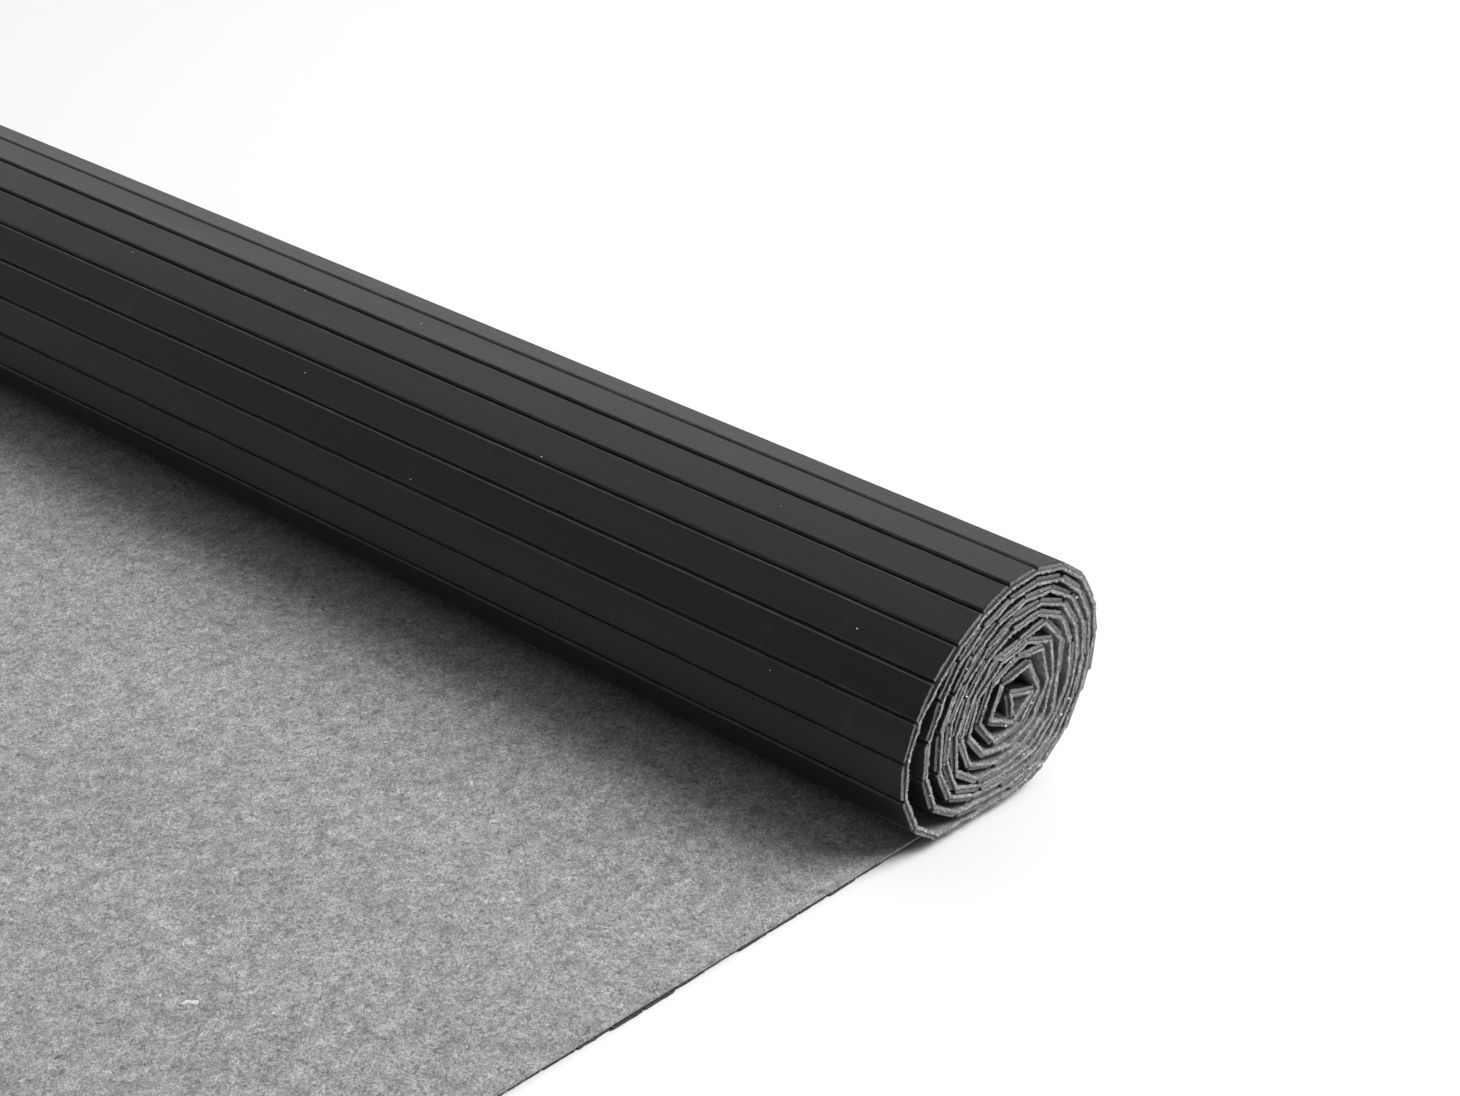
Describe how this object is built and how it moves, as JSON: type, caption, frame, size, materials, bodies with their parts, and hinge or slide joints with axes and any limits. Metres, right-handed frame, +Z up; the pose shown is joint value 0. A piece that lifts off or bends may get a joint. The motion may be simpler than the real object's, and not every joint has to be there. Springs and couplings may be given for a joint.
{
  "type": "rolled bamboo mat",
  "caption": "Mat of black lacquered bamboo slats on grey felt, wound into a flattened roll with one stretch left lying flat, felt side up.",
  "frame": {"origin": "middle of the floor under the mat's bounding box", "axes": "+X from the free end of the flat stretch towards the roll, +Y along the slats and the roll's axis, +Z up"},
  "size_m": [0.4782, 0.8102, 0.1052],
  "materials": {
    "slat_lacquer": "bamboo under black lacquer, satin",
    "felt": "pressed felt, matte"
  },
  "bodies": {
    "root": {"felt_flat": "felt", "felt_roll": "felt", "flat_slat_01": "slat_lacquer", "flat_slat_02": "slat_lacquer", "flat_slat_03": "slat_lacquer", "flat_slat_04": "slat_lacquer", "flat_slat_05": "slat_lacquer", "flat_slat_06": "slat_lacquer", "flat_slat_07": "slat_lacquer", "flat_slat_08": "slat_lacquer", "flat_slat_09": "slat_lacquer", "flat_slat_10": "slat_lacquer", "flat_slat_11": "slat_lacquer", "flat_slat_12": "slat_lacquer", "flat_slat_13": "slat_lacquer", "flat_slat_14": "slat_lacquer", "flat_slat_15": "slat_lacquer", "flat_slat_16": "slat_lacquer", "flat_slat_17": "slat_lacquer", "flat_slat_18": "slat_lacquer", "flat_slat_19": "slat_lacquer", "flat_slat_20": "slat_lacquer", "flat_slat_21": "slat_lacquer", "flat_slat_22": "slat_lacquer", "flat_slat_23": "slat_lacquer", "flat_slat_24": "slat_lacquer", "flat_slat_25": "slat_lacquer", "outer_slat_01": "slat_lacquer", "outer_slat_02": "slat_lacquer", "outer_slat_03": "slat_lacquer", "outer_slat_04": "slat_lacquer", "outer_slat_05": "slat_lacquer", "outer_slat_06": "slat_lacquer", "outer_slat_07": "slat_lacquer", "outer_slat_08": "slat_lacquer", "outer_slat_09": "slat_lacquer", "outer_slat_10": "slat_lacquer", "outer_slat_11": "slat_lacquer", "outer_slat_12": "slat_lacquer", "outer_slat_13": "slat_lacquer", "outer_slat_14": "slat_lacquer", "outer_slat_15": "slat_lacquer", "outer_slat_16": "slat_lacquer", "outer_slat_17": "slat_lacquer", "outer_slat_18": "slat_lacquer", "outer_slat_19": "slat_lacquer", "outer_slat_20": "slat_lacquer", "outer_slat_21": "slat_lacquer", "outer_slat_22": "slat_lacquer"}
  },
  "joints": []
}
